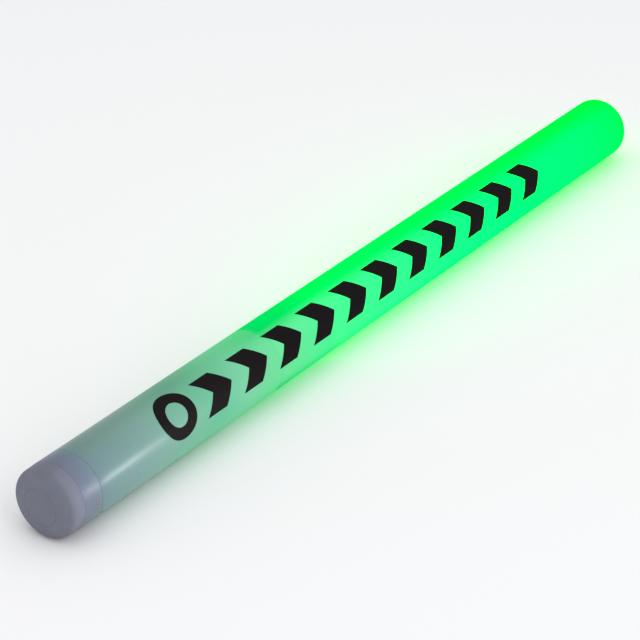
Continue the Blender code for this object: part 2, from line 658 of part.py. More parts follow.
def make_leads():
    """Insulated leads: along the pack's axis, through its discs, and on to the LED board."""
    radius = 0.5 * MM
    top = BOARD / 2 + GAP + radius
    (_, _), (_, _), (ty, tz) = around(CELL_COUNT, CELL_CIRCLE)
    first_z = CELL_CIRCLE
    board_front = SWITCH_BOARD_REAR + BOARD + GAP
    wire("white_lead", [(board_front + GAP, 0, first_z), (BAY_REAR - GAP, 0, first_z)], radius,
         "white_insulation")
    board_start = TRAY_REAR + TRAY_END + 0.5 * MM
    wire("black_lead", smooth_route([
        (board_front + GAP, 0, -2 * MM), (board_front + 3 * MM, 0, -2 * MM), (26.5 * MM, 0, -MM),
        (30 * MM, 0, 0), (46 * MM, 0, 0), (60 * MM, 0, 0), (BAY_FRONT, 0, 0),
        (board_start - 2.4 * MM, 0, 0.9 * MM), (board_start + MM, 0, top + 0.5 * MM),
        (board_start + 4 * MM, 0, top),
    ], 3), radius, "black_insulation")
    wire("red_lead", smooth_route([
        (BAY_FRONT + GAP, ty, tz), (TRAY_REAR + 3 * MM, ty, tz),
        (TRAY_REAR + 6 * MM, ty + 1.2 * MM, tz + MM), (TRAY_REAR + 9 * MM, ty + 2 * MM, -top),
        (TRAY_REAR + 11 * MM, ty + 2 * MM, -top),
    ], 3), radius, "red_insulation")
    tray_end = TRAY_REAR + TRAY_LENGTH
    for name, y, material in (
        ("led_lead_red", 0.9 * MM, "red_insulation"), ("led_lead_black", -0.9 * MM, "black_insulation")
    ):
        wire(name, smooth_route([
            (tray_end - 6.5 * MM, 2 * y, top), (tray_end - 4.5 * MM, 1.5 * y, top + 0.6 * MM),
            (tray_end - 2 * MM, y, 2.6 * MM), (tray_end + 2 * MM, y, 3 * MM),
            (LED_BOARD_REAR - TOUCHING_GAP, y, 3 * MM),
        ], 3), radius, material)


clear_scene()
AXIS = make_axis()
make_diffuser_tube()
make_tip_cap()
make_grip_liner()
make_end_cap()
make_cap_seal()
make_swivel_clip()
make_push_button()
make_switch()
make_switch_housing()
make_battery_frame()
make_cells()
make_contacts()
make_driver_tray()
make_driver_board()
make_led_head()
make_leads()
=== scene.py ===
"""Looks of the lighted traffic baton: smooth milky tube, tip, end cap, button and printed marks.

Every position is in the row frame, in metres. The baton lies along +X, and a station is a
distance in front of the end cap's outer face, along the baton's axis.
"""

import json
import math

import bmesh
import bpy
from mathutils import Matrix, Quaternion, Vector

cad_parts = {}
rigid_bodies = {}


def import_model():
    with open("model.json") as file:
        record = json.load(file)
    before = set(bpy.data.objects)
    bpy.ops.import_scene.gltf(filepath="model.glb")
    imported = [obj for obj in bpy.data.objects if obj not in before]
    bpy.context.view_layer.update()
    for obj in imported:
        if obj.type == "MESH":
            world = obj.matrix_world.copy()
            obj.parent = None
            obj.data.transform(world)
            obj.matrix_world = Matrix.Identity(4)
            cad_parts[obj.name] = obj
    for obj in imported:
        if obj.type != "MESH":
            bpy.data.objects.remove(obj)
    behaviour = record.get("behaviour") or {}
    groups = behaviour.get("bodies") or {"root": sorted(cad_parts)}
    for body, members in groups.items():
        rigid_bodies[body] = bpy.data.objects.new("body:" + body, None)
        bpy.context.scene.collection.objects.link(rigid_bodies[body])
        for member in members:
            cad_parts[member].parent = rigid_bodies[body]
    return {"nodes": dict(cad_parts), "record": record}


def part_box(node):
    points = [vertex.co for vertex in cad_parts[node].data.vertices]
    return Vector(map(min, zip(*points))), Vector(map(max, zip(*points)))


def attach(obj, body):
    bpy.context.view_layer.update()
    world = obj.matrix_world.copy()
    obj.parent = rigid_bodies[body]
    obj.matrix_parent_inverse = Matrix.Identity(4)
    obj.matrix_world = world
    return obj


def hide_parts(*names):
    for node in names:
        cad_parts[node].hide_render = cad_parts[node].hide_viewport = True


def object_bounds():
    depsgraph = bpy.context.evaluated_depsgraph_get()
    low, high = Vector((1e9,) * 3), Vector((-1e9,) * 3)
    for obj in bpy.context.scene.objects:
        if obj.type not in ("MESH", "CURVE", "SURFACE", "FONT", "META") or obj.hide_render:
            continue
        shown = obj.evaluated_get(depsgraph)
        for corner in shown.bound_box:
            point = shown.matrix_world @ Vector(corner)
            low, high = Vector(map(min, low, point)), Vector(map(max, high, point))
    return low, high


MM = 0.001

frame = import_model()
CAD_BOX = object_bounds()

# The baton's axis and its stations
REAR = CAD_BOX[0].x
LENGTH = CAD_BOX[1].x - CAD_BOX[0].x
AXIS_Z = (CAD_BOX[0].z + CAD_BOX[1].z) / 2
RADIUS = 13.9 * MM
BORE = 12.8 * MM
CAP_SEAM = 18 * MM
MOULD_LINE = 8.7 * MM
TIP_SEAM = LENGTH - 9.2 * MM
GRIP_END = 127 * MM

# The end cap: a domed face with a hole for the button, and a spigot with two grooves
CAP_FRONT = RADIUS - 0.1 * MM
DOME_DEPTH = 5.6 * MM
DOME_POWER = 3.3
DOME_SET_BACK = 0.03 * MM
CAP_SKIN = 2.2 * MM
BUTTON_HOLE = 7.42 * MM
SPIGOT_RADIUS = 11.4 * MM
SPIGOT_BORE = 10 * MM
SPIGOT_END = 30.2 * MM
SEAL_LAND = 12.55 * MM
SEAL_LAND_END = 22.4 * MM
SEAL_GROOVE = 10.9 * MM
SEAL_GROOVE_START = 19.2 * MM
SEAL_GROOVE_END = 21.4 * MM
CLIP_GROOVE = 10.7 * MM
CLIP_GROOVE_START = 27.4 * MM
CLIP_GROOVE_END = 28.8 * MM
LUG_COUNT = 2

# How far the corners are rounded
CRISP = 0.05 * MM
FINE = 0.1 * MM
EASED = 0.2 * MM
SOFT = 0.3 * MM

# How finely the meshes are cut
ROUND = 128
FILLET_STEPS = 5
SHARP_EDGE = math.radians(40)
SAME_POINT = 1e-7

# Most of what a noise node gives lies between these
NOISE_LOW, NOISE_HIGH = 0.3, 0.7

# Mapping scales that stretch noise along the baton
LONG_STREAKS = (0.3, 1.0, 1.0)
FINE_SCUFFS = (0.2, 1.0, 1.0)
DRAWN_LINES = (0.1, 1.0, 1.0)

# The printed marks
INK_TOP = RADIUS + 0.02 * MM
INK_FLOOR = RADIUS - 0.03 * MM
RING_ANGLE = math.radians(137)
RING_STATION = 66 * MM
RING_OUTER = 9.8 * MM
RING_INNER = 5 * MM
CHEVRON_ANGLE = math.radians(140)
CHEVRON_HEIGHT = 15.5 * MM
CHEVRON_COUNT = 11
CHEVRON_START = 80 * MM
CHEVRON_PITCH = 22.6 * MM
CHEVRON_BAR = 11.5 * MM
CHEVRON_POINT = 7 * MM
INK = (0.008, 0.006, 0.007)


# ---------------------------------------------------------------- node materials


class Paint:
    """Builds one node material round a Principled shader."""

    def __init__(self, name, colour, roughness, metallic=0.0, specular=0.5):
        self.material = bpy.data.materials.new(name)
        self.material.use_nodes = True
        self.nodes = self.material.node_tree.nodes
        self.links = self.material.node_tree.links
        self.shader = self.nodes["Principled BSDF"]
        self.set("Base Color", (*colour, 1.0))
        self.set("Roughness", roughness)
        self.set("Metallic", metallic)
        self.set("Specular IOR Level", specular)
        self.place = self.add("ShaderNodeTexCoord").outputs["Object"]

    def set(self, socket, value):
        """Gives a shader socket a number, a colour or another node's output."""
        self.feed(self.shader.inputs[socket], value)

    def feed(self, socket, value):
        """Gives any socket a number, a colour or another node's output."""
        if isinstance(value, bpy.types.NodeSocket):
            self.links.new(value, socket)
        else:
            socket.default_value = value

    def add(self, kind, inputs=None, **settings):
        """A node of that kind. Inputs are by name or number."""
        made = self.nodes.new(kind)
        for key, value in settings.items():
            setattr(made, key, value)
        for key, value in (inputs or {}).items():
            self.feed(made.inputs[key], value)
        return made

    def maths(self, operation, a, b):
        """One sum or comparison of two values."""
        return self.add("ShaderNodeMath", {0: a, 1: b}, operation=operation).outputs[0]

    def noise(self, scale, detail=2.0, stretch=(1, 1, 1)):
        """Noise, mostly from NOISE_LOW to NOISE_HIGH. Scale is in features per metre."""
        mapping = self.add("ShaderNodeMapping", {"Vector": self.place, "Scale": stretch})
        made = self.add(
            "ShaderNodeTexNoise",
            {"Vector": mapping.outputs[0], "Scale": scale, "Detail": detail},
        )
        return made.outputs[0]

    def spread(self, value, low, high, out_low, out_high, kind="LINEAR"):
        """Maps a value from one range onto another, and holds it there."""
        made = self.add(
            "ShaderNodeMapRange",
            {0: value, 1: low, 2: high, 3: out_low, 4: out_high},
            interpolation_type=kind,
        )
        return made.outputs[0]

    def vary(self, noise, low, high):
        """Noise as a value from low to high."""
        return self.spread(noise, NOISE_LOW, NOISE_HIGH, low, high)

    def ramp(self, value, stops):
        """A colour ramp. Each stop is (place from 0 to 1, colour)."""
        made = self.add("ShaderNodeValToRGB", {0: value})
        points = made.color_ramp.elements
        while len(points) < len(stops):
            points.new(0.5)
        for point, (place, colour) in zip(points, stops):
            point.position = place
            point.color = (*colour, 1.0)
        return made.outputs[0]

    def blend(self, share, a, b, how="MIX"):
        """Two colours mixed. The Mix node has its colours in sockets 6 and 7 and output 2."""
        made = self.add("ShaderNodeMix", data_type="RGBA", blend_type=how)
        for socket, value in ((0, share), (6, a), (7, b)):
            if isinstance(value, tuple):
                value = (*value, 1.0)
            self.feed(made.inputs[socket], value)
        return made.outputs[2]

    def shade(self, colour, value):
        """A colour made darker or lighter by a grey value."""
        grey = self.add("ShaderNodeCombineColor", {0: value, 1: value, 2: value}).outputs[0]
        return self.blend(1.0, colour, grey, "MULTIPLY")

    def bump(self, height, distance, strength):
        """Fine relief. Distance is how deep it goes, in metres."""
        made = self.add(
            "ShaderNodeBump", {"Height": height, "Distance": distance, "Strength": strength}
        )
        self.set("Normal", made.outputs[0])

    def station(self):
        """How far along the baton a point is, from 0 at the cap's face to 1 at the tip."""
        split = self.add("ShaderNodeSeparateXYZ", {0: self.place})
        return self.spread(split.outputs[0], REAR, REAR + LENGTH, 0.0, 1.0)

    def along(self, stops):
        """A colour ramp along the baton. Each stop is (station in mm, colour)."""
        return self.ramp(self.station(), [(mm * MM / LENGTH, colour) for mm, colour in stops])

    def facing(self, angle):
        """1 on the line that looks towards an angle from +Y about +X, 0 beside it, -1 opposite."""
        axis = (0.0, math.cos(angle), math.sin(angle))
        from_axis = self.add(
            "ShaderNodeVectorMath", {0: self.place, 1: (0.0, 0.0, AXIS_Z)}, operation="SUBTRACT"
        )
        reach = self.add(
            "ShaderNodeVectorMath", {0: from_axis.outputs[0], 1: axis}, operation="DOT_PRODUCT"
        )
        return self.maths("DIVIDE", reach.outputs["Value"], RADIUS)

    def front(self, degrees, low, high):
        """A soft mask round an angle. It rises from 0 to 1 between two values of facing()."""
        facing = self.facing(math.radians(degrees))
        return self.spread(facing, low, high, 0.0, 1.0, "SMOOTHSTEP")

    def scuffed(self, low, high):
        """A value from low to high, in soft patches with fine scuffs that run along the baton."""
        patches = self.maths("MULTIPLY", self.noise(210.0, 4.0), 0.7)
        lines = self.maths("MULTIPLY", self.noise(800.0, 2.0, FINE_SCUFFS), 0.3)
        return self.spread(self.maths("ADD", patches, lines), 0.35, 0.65, low, high)

    def wear(self, low, high):
        """Roughness between two values, from patches and scuffs."""
        self.set("Roughness", self.scuffed(low, high))


# Colours along the baton, as (station in mm, linear colour)
# The LED's glow along the top of the tube, without the painted highlight that the front has
GLOW_TOP_SHADED = [
    (0, (0.0, 0.0, 0.0)),
    (22, (0.0, 0.0, 0.0)),
    (50, (0.0, 0.04, 0.012)),
    (75, (0.0, 0.11, 0.02)),
    (105, (0.0, 0.33, 0.06)),
    (124, (0.0, 0.46, 0.06)),
    (127.2, (0.0, 0.68, 0.11)),
    (160, (0.0, 0.92, 0.095)),
    (200, (0.0, 2.4, 0.092)),
    (300, (0.0, 3.0, 0.08)),
    (392, (0.0, 3.0, 0.055)),
    (406, (0.0, 3.0, 0.025)),
]
# The LED's glow along the front, made bluer there as a painted highlight
GLOW_FRONT_HIGHLIT = [
    (0, (0.0, 0.0, 0.0)),
    (22, (0.0, 0.0, 0.0)),
    (50, (0.0, 0.085, 0.034)),
    (75, (0.0, 0.2, 0.035)),
    (105, (0.0, 0.34, 0.08)),
    (127, (0.0, 0.52, 0.1)),
    (160, (0.0, 0.8, 0.19)),
    (200, (0.0, 1.6, 0.23)),
    (250, (0.0, 2.4, 0.22)),
    (350, (0.0, 3.0, 0.195)),
    (392, (0.0, 3.0, 0.115)),
    (406, (0.0, 3.0, 0.035)),
]
# The wall's colour along the top, set as painted shade for how light falls there
BODY_TOP_SHADED = [
    (18, (0.15, 0.24, 0.245)),
    (23, (0.154, 0.26, 0.237)),
    (50, (0.17, 0.268, 0.244)),
    (75, (0.128, 0.252, 0.212)),
    (105, (0.134, 0.236, 0.212)),
    (124, (0.07, 0.2, 0.155)),
    (127.2, (0.0, 0.05, 0.02)),
    (406, (0.0, 0.03, 0.01)),
]
# The wall's colour along the front, set as painted light for how light falls there
BODY_FRONT_LIT = [
    (18, (0.143, 0.208, 0.241)),
    (23, (0.143, 0.23, 0.235)),
    (50, (0.157, 0.218, 0.226)),
    (90, (0.112, 0.216, 0.203)),
    (105, (0.155, 0.242, 0.23)),
    (127, (0.15, 0.248, 0.226)),
    (127.2, (0.17, 0.268, 0.244)),
    (160, (0.078, 0.142, 0.128)),
    (200, (0.04, 0.106, 0.09)),
    (250, (0.009, 0.077, 0.06)),
    (300, (0.002, 0.05, 0.04)),
    (406, (0.0, 0.038, 0.019)),
]
# The cap's own colours, with the face painted a little lighter and its rounded rim a little
# darker, as painted light and shade
CAP_COLOUR_LIGHT_AND_SHADE = [
    (0, (0.177, 0.186, 0.234)),
    (3, (0.168, 0.177, 0.224)),
    (8.6, (0.174, 0.179, 0.238)),
    (8.9, (0.139, 0.163, 0.222)),
    (14, (0.142, 0.18, 0.238)),
    (18, (0.146, 0.208, 0.25)),
]


def tube_paint(name, lit):
    """The milky plastic. Light from the head leaks back into the grip and fades towards the cap.
    On top the lit part starts at a sharp line; in front, light in the wall and a painted highlight
    hide that line. The wall's colour also differs between top and front, as painted light and
    shade."""
    paint = Paint(name, (0.2, 0.3, 0.3), 0.3, specular=0.0 if lit else 0.08)
    # the glow is the LED's own light; its bluer front is a painted highlight
    glow_and_highlight = paint.blend(
        paint.front(170, 0.1, 0.8), paint.along(GLOW_TOP_SHADED), paint.along(GLOW_FRONT_HIGHLIT)
    )
    clouds = paint.vary(paint.noise(38.0, 3.0), 0.93, 1.05)
    paint.set("Emission Color", paint.shade(glow_and_highlight, clouds))
    paint.set("Emission Strength", 1.0)

    # the wall colour on top and in front is set apart as painted light and shade; the paler wall
    # colour is narrower round the front than the glow is
    body = paint.blend(
        paint.front(160, 0.4, 0.9), paint.along(BODY_TOP_SHADED), paint.along(BODY_FRONT_LIT)
    )
    streaks = paint.vary(paint.noise(55.0, 3.0, LONG_STREAKS), 0.93, 1.06)
    paint.set("Base Color", paint.shade(body, streaks))

    # the grip is polished by hands, and the rest keeps its moulded satin finish
    satin = paint.spread(paint.station(), 0.08, 0.24, 0.0, 0.25, "SMOOTHSTEP")
    polished = paint.vary(paint.noise(120.0, 2.0, LONG_STREAKS), 0.25, 0.3)
    paint.set("Roughness", paint.maths("ADD", polished, satin))
    paint.bump(paint.noise(900.0, 2.0), 0.01 * MM, 0.15)
    return paint.material


def cap_paint(name, low, high):
    """Moulded plastic: matt and greyer on the handled face, smoother and bluer behind its line.
    The face is painted a little lighter and its rounded rim a little darker, as painted light and
    shade.
    """
    paint = Paint(name, (0.2, 0.2, 0.25), 0.4, specular=0.16)
    grime = paint.spread(paint.noise(62.0, 3.0), 0.5, 0.72, 0.0, 0.4)
    # dirt patches over the cap's colour, which carries painted light and shade on the face and rim
    smudged_and_shaded = paint.blend(grime, paint.along(CAP_COLOUR_LIGHT_AND_SHADE), (0.125, 0.118, 0.115))
    blotches = paint.vary(paint.noise(60.0, 4.0), 0.93, 1.05)
    paint.set("Base Color", paint.shade(smudged_and_shaded, blotches))
    line = MOULD_LINE / LENGTH
    matt = paint.spread(paint.station(), line * 0.95, line, 0.3, 0.0)
    paint.set("Roughness", paint.maths("ADD", paint.scuffed(low, high), matt))
    paint.bump(paint.noise(1500.0, 2.0), 0.01 * MM, 0.35)
    return paint.material


def moulded(name, colour, low, high, grain=1800.0):
    """Plastic, rubber or ceramic with a fine moulded grain, between two roughnesses."""
    paint = Paint(name, colour, (low + high) / 2)
    paint.set("Base Color", paint.shade(colour, paint.vary(paint.noise(90.0, 3.0), 0.85, 1.1)))
    paint.wear(low, high)
    paint.bump(paint.noise(grain, 2.0), 0.02 * MM, 0.5)
    return paint.material


def metal(name, colour, low, high, stretch=DRAWN_LINES):
    """Metal with fine lines from drawing or polishing, and dull patches."""
    paint = Paint(name, colour, (low + high) / 2, 1.0)
    lines = paint.noise(2400.0, 3.0, stretch)
    tarnish = paint.noise(220.0, 3.0)
    dull = tuple(c * 0.78 for c in colour)
    paint.set("Base Color", paint.blend(paint.spread(tarnish, 0.45, 0.75, 0.0, 1.0), colour, dull))
    paint.set("Roughness", paint.vary(lines, low, high))
    paint.bump(lines, 0.01 * MM, 0.5)
    return paint.material


def circuit_board():
    """Green solder mask over a grid of raised tracks."""
    paint = Paint("circuit_board", (0.02, 0.22, 0.09), 0.35)
    bricks = paint.add(
        "ShaderNodeTexBrick",
        {"Vector": paint.place, "Scale": 320.0, "Mortar Size": 0.06, "Brick Width": 0.9},
    )
    track = bricks.outputs["Fac"]
    mask = paint.blend(paint.noise(400.0), (0.012, 0.17, 0.07), (0.02, 0.24, 0.1))
    paint.set("Base Color", paint.blend(track, mask, (0.05, 0.33, 0.14)))
    paint.set("Roughness", paint.spread(track, 0.0, 1.0, 0.34, 0.26))
    paint.bump(track, 0.03 * MM, 0.5)
    return paint.material


def cell_wrap(node, forwards):
    """Dark printed film with a copper band at the positive end, over a bare steel nub."""
    low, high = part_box(node)
    paint = Paint(f"{node}_wrap", (0.03, 0.035, 0.04), 0.3)
    split = paint.add("ShaderNodeSeparateXYZ", {0: paint.place})
    ends = (0.0, 1.0) if forwards else (1.0, 0.0)
    along = paint.spread(split.outputs[0], low.x, high.x, *ends)
    black, copper, steel = (0.02, 0.022, 0.026), (0.55, 0.27, 0.1), (0.6, 0.6, 0.6)
    # where the film, its copper band and the bare nub start, as shares of the cell's length
    film, band, nub = 0.012, 0.7, 0.955
    colour = paint.ramp(along, [(0.0, steel), (film, black), (band, copper), (nub, steel)])
    paint.nodes["Color Ramp"].color_ramp.interpolation = "CONSTANT"
    paint.set("Base Color", colour)
    bare_base = paint.maths("LESS_THAN", along, film)
    bare_nub = paint.maths("GREATER_THAN", along, nub)
    paint.set("Metallic", paint.maths("MAXIMUM", bare_nub, bare_base))
    paint.wear(0.22, 0.34)
    paint.bump(paint.noise(700.0, 2.0), 0.01 * MM, 0.4)
    return paint.material


def clear(name, colour, roughness, weight):
    """Clear acrylic or epoxy, faintly hazed. Weight is the share of light that goes through."""
    paint = Paint(name, colour, roughness)
    paint.set("Transmission Weight", weight)
    paint.set("IOR", 1.49)
    paint.set("Roughness", paint.vary(paint.noise(500.0, 3.0), roughness, roughness + 0.06))
    paint.bump(paint.noise(300.0, 1.0), 0.01 * MM, 0.3)
    return paint.material


def ink_paint():
    """Screen-printed black ink, with faint pinholes."""
    paint = Paint("print_ink", INK, 0.6, specular=0.04)
    pinholes = paint.spread(paint.noise(3200.0, 2.0), 0.66, 0.74, 0.0, 0.5)
    paint.set("Base Color", paint.blend(pinholes, INK, (0.02, 0.03, 0.025)))
    paint.wear(0.52, 0.66)
    paint.bump(paint.noise(1500.0, 2.0), 0.01 * MM, 0.5)
    return paint.material


# ---------------------------------------------------------------- mesh pieces


def fillet(outline):
    """Rounds the corners of a closed outline. Each corner is (station, radius, size of fillet)."""
    rounded = []
    count = len(outline)
    for k, (x, r, size) in enumerate(outline):
        here = Vector((x, r))
        before = Vector(outline[k - 1][:2]) - here
        after = Vector(outline[(k + 1) % count][:2]) - here
        if size <= 0 or before.length == 0 or after.length == 0:
            rounded.append(tuple(here))
            continue
        back, on = before.normalized(), after.normalized()
        opening = back.angle(on)
        reach = min(size / math.tan(opening / 2), before.length * 0.49, after.length * 0.49)
        first, last = here + back * reach, here + on * reach
        for j in range(FILLET_STEPS + 1):
            t = j / FILLET_STEPS
            rounded.append(tuple((1 - t) ** 2 * first + 2 * t * (1 - t) * here + t**2 * last))
    return rounded


def ellipse(start, depth, radius, steps):
    """A quarter of an ellipse, from (start, radius) to (start + depth, 0), as sharp corners."""
    turns = [math.pi / 2 * k / steps for k in range(steps)]
    arc = [(start + depth * math.sin(t), radius * math.cos(t), 0.0) for t in turns]
    return arc + [(start + depth, 0.0, 0.0)]


def finish_mesh(name, shape, materials, body, nodes=()):
    """Makes a piece of a bmesh. It rides on a body and takes the place of CAD nodes."""
    bmesh.ops.remove_doubles(shape, verts=shape.verts, dist=SAME_POINT)
    bmesh.ops.recalc_face_normals(shape, faces=shape.faces)
    mesh = bpy.data.meshes.new(name)
    shape.to_mesh(mesh)
    shape.free()
    mesh.shade_smooth()
    mesh.set_sharp_from_angle(angle=SHARP_EDGE)
    for material in materials:
        mesh.materials.append(material)
    piece = bpy.data.objects.new(name, mesh)
    bpy.context.scene.collection.objects.link(piece)
    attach(piece, body)
    if nodes:
        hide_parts(*nodes)


def turned(station, radius, turn):
    """The place at a station and a radius, at a turn from straight up towards +Y."""
    return (REAR + station, radius * math.sin(turn), AXIS_Z + radius * math.cos(turn))


def lathe(outline):
    """Turns an outline of (station, radius) about the baton's axis. It joins its ends to each
    other, unless both are on the axis."""
    shape = bmesh.new()
    turns = [math.tau * k / ROUND for k in range(ROUND)]
    rows = []
    for x, r in outline:
        if r < SAME_POINT:
            rows.append([shape.verts.new(turned(x, 0.0, 0.0))] * ROUND)
        else:
            rows.append([shape.verts.new(turned(x, r, turn)) for turn in turns])
    is_open = outline[0][1] < SAME_POINT and outline[-1][1] < SAME_POINT
    pairs = list(zip(rows, rows[1:])) + ([] if is_open else [(rows[-1], rows[0])])
    for near, far in pairs:
        for k in range(ROUND):
            following = (k + 1) % ROUND
            # where a row is one point on the axis, its corners fall together
            corners = list(dict.fromkeys((near[k], near[following], far[following], far[k])))
            if len(corners) > 2:
                shape.faces.new(corners)
    return shape


def long_run(start, end, radius, step):
    """Points along a straight wall, so that long faces are cut into even rings."""
    count = max(1, round(abs(end - start) / step))
    return [(start + (end - start) * k / count, radius, 0.0) for k in range(1, count)]


def make_tube():
    """The tube, with a hair's gap at each seam. Returns the lit part's paint for the tip."""
    start, end = CAP_SEAM + 0.05 * MM, TIP_SEAM - 0.03 * MM
    bonded_edge, outer_ring, inner_ring = 0.03 * MM, 4 * MM, 12 * MM
    outline = [
        (start, BORE, FINE), (start, RADIUS, FINE),
        *long_run(start, end, RADIUS, outer_ring),
        (end, RADIUS, bonded_edge), (end, BORE, FINE),
        *long_run(end, start, BORE, inner_ring),
    ]
    shape = lathe(fillet(outline))
    border = REAR + GRIP_END
    for face in shape.faces:
        face.material_index = int(face.calc_center_median().x > border)
    grip, lit = tube_paint("milky_grip", lit=False), tube_paint("milky_lit", lit=True)
    finish_mesh("milky_tube_shell", shape, [grip, lit], "baton", ["diffuser_tube"])
    return lit


def make_tip(paint):
    """The domed tip, with its bonded spigot and the small mark left by its mould gate."""
    dome, spigot, spigot_end = LENGTH - TIP_SEAM, 12.6 * MM, TIP_SEAM - 8 * MM
    wall, set_back, gate_edge = 1.2 * MM, 0.05 * MM, 1.5 * MM
    inner = spigot - wall
    outer_dome = ellipse(TIP_SEAM, dome - set_back, RADIUS, steps=28)
    # the gate mark is a shallow groove round a nib, as (depth behind the tip, radius) in mm
    gate = [(0.14, 0.0), (0.16, 0.4), (0.3, 0.6), (0.28, 1.0), (0.12, 1.3)]
    outline = [
        *[(LENGTH - depth * MM, radius * MM, 0.0) for depth, radius in gate],
        *[corner for corner in outer_dome[::-1] if corner[1] > gate_edge],
        (TIP_SEAM, spigot, 0.0), (spigot_end, spigot, EASED), (spigot_end, inner, EASED),
        *ellipse(TIP_SEAM, dome - wall, inner, steps=18),
    ]
    finish_mesh("domed_tip", lathe(fillet(outline)), [paint], "baton", ["tip_cap"])


def dome_station(radius):
    """The station of the end cap's domed face at a distance from the axis."""
    share = min(1.0, radius / CAP_FRONT)
    return DOME_SET_BACK + DOME_DEPTH * (1 - (1 - share**DOME_POWER) ** (1 / DOME_POWER))


def make_cap():
    """The end cap: a softly domed face, a moulded line behind its edge, and the hollow spigot."""
    rim_start, rim_end, rim_steps = 33, 90, 24
    rim_turn = (rim_end - rim_start) / rim_steps
    rim_radii = [
        CAP_FRONT * math.sin(math.radians(rim_start + rim_turn * k)) for k in range(rim_steps + 1)
    ]
    # past the line the wall is a hair wider, in line with the tube's, and cut into two rings
    step, wall_cut, hole_edge = 0.12 * MM, 13 * MM, 0.04 * MM
    outline = [
        (CAP_SKIN, SPIGOT_BORE, FINE), (CAP_SKIN, BUTTON_HOLE, CRISP),
        (dome_station(BUTTON_HOLE), BUTTON_HOLE, hole_edge),
        *[(dome_station(radius), radius, 0.0) for radius in rim_radii],
        (MOULD_LINE, CAP_FRONT, CRISP), (MOULD_LINE + step, RADIUS, FINE), (wall_cut, RADIUS, 0.0),
        (CAP_SEAM, RADIUS, FINE), (CAP_SEAM, SEAL_LAND, CRISP),
        (SEAL_GROOVE_START, SEAL_LAND, FINE), (SEAL_GROOVE_START, SEAL_GROOVE, FINE),
        (SEAL_GROOVE_END, SEAL_GROOVE, FINE), (SEAL_GROOVE_END, SEAL_LAND, FINE),
        (SEAL_LAND_END, SEAL_LAND, SOFT), (SEAL_LAND_END, SPIGOT_RADIUS, FINE),
        (SPIGOT_END, SPIGOT_RADIUS, SOFT), (SPIGOT_END, SPIGOT_BORE, EASED),
        (CLIP_GROOVE_END, SPIGOT_BORE, CRISP), (CLIP_GROOVE_END, CLIP_GROOVE, CRISP),
        (CLIP_GROOVE_START, CLIP_GROOVE, CRISP), (CLIP_GROOVE_START, SPIGOT_BORE, CRISP),
    ]
    paint = cap_paint("cap_plastic", 0.3, 0.42)
    shape = lathe(fillet(outline))
    finish_mesh("rounded_end_cap", shape, [paint], "cap", ["end_cap"])
    for number in range(LUG_COUNT):
        make_lug(number, paint)


def make_lug(number, paint):
    """A bayonet lug on the cap's spigot, in line with its slot in the liner."""
    middle, half, steps = math.tau * number / LUG_COUNT, math.radians(10), 12
    inner, outer = 11.3 * MM, 12.45 * MM
    start, end, round_off = 24.6 * MM, 27 * MM, 0.25 * MM
    section = fillet([
        (start, inner, 0.0), (start, outer, round_off), (end, outer, round_off), (end, inner, 0.0)
    ])
    shape = bmesh.new()
    rows = []
    for k in range(steps + 1):
        turn = middle - half + 2 * half * k / steps
        rows.append([shape.verts.new(turned(x, r, turn)) for x, r in section])
    count = len(section)
    for near, far in zip(rows, rows[1:]):
        for k in range(count):
            shape.faces.new((near[k], near[(k + 1) % count], far[(k + 1) % count], far[k]))
    shape.faces.new(rows[0])
    shape.faces.new(rows[-1][::-1])
    finish_mesh(f"bayonet_lug_{number + 1}", shape, [paint], "cap", [])


def make_button():
    """The soft button, crowned, in a close hole in the cap's face."""
    radius, flange, hollow, pusher = 7.39 * MM, 9.2 * MM, 6 * MM, 2 * MM
    crown_end, skin, flange_start, flange_end, pusher_end = (
        0.32 * MM, 1.7 * MM, 2.5 * MM, 3.4 * MM, 9.6 * MM
    )
    crown_radius, crown_steps = radius - 0.04 * MM, 12
    crown_radii = [crown_radius * k / crown_steps for k in range(crown_steps + 1)]
    outline = [
        *[(dome_station(r), r, 0.0) for r in crown_radii],
        (crown_end, radius, 0.0), (flange_start, radius, FINE), (flange_start, flange, FINE),
        (flange_end, flange, EASED), (flange_end, hollow, EASED), (skin, hollow, SOFT),
        (skin, pusher, SOFT), (pusher_end, pusher, SOFT), (pusher_end, 0.0, 0.0),
    ]
    paint = cap_paint("button_rubber", 0.4, 0.52)
    shape = lathe(fillet(outline))
    finish_mesh("soft_button", shape, [paint], "button", ["push_button"])


def print_patch(name, rows, middle, paint, ring=False):
    """A thin film of ink, centred on an angle round the tube. Rows hold (station, height up the
    tube from the middle). A ring's last row joins its first."""
    shape = bmesh.new()
    films = []
    for radius in (INK_TOP, INK_FLOOR):
        turns = [[(x, middle - v / RADIUS) for x, v in row] for row in rows]
        films.append([
            [
                shape.verts.new((REAR + x, radius * math.cos(t), AXIS_Z + radius * math.sin(t)))
                for x, t in row
            ]
            for row in turns
        ])
    for film in films:
        loops = film + film[:1] if ring else film
        for a, b in zip(loops, loops[1:]):
            for k in range(len(a) - 1):
                shape.faces.new((a[k], a[k + 1], b[k + 1], b[k]))
    # a wall closes each edge of the film
    below = {}
    for top, bottom in zip(*films):
        below.update(zip(top, bottom))
    for edge in [edge for edge in shape.edges if edge.is_boundary and edge.verts[0] in below]:
        a, b = edge.verts
        shape.faces.new((a, b, below[b], below[a]))
    finish_mesh(name, shape, [paint], "baton")


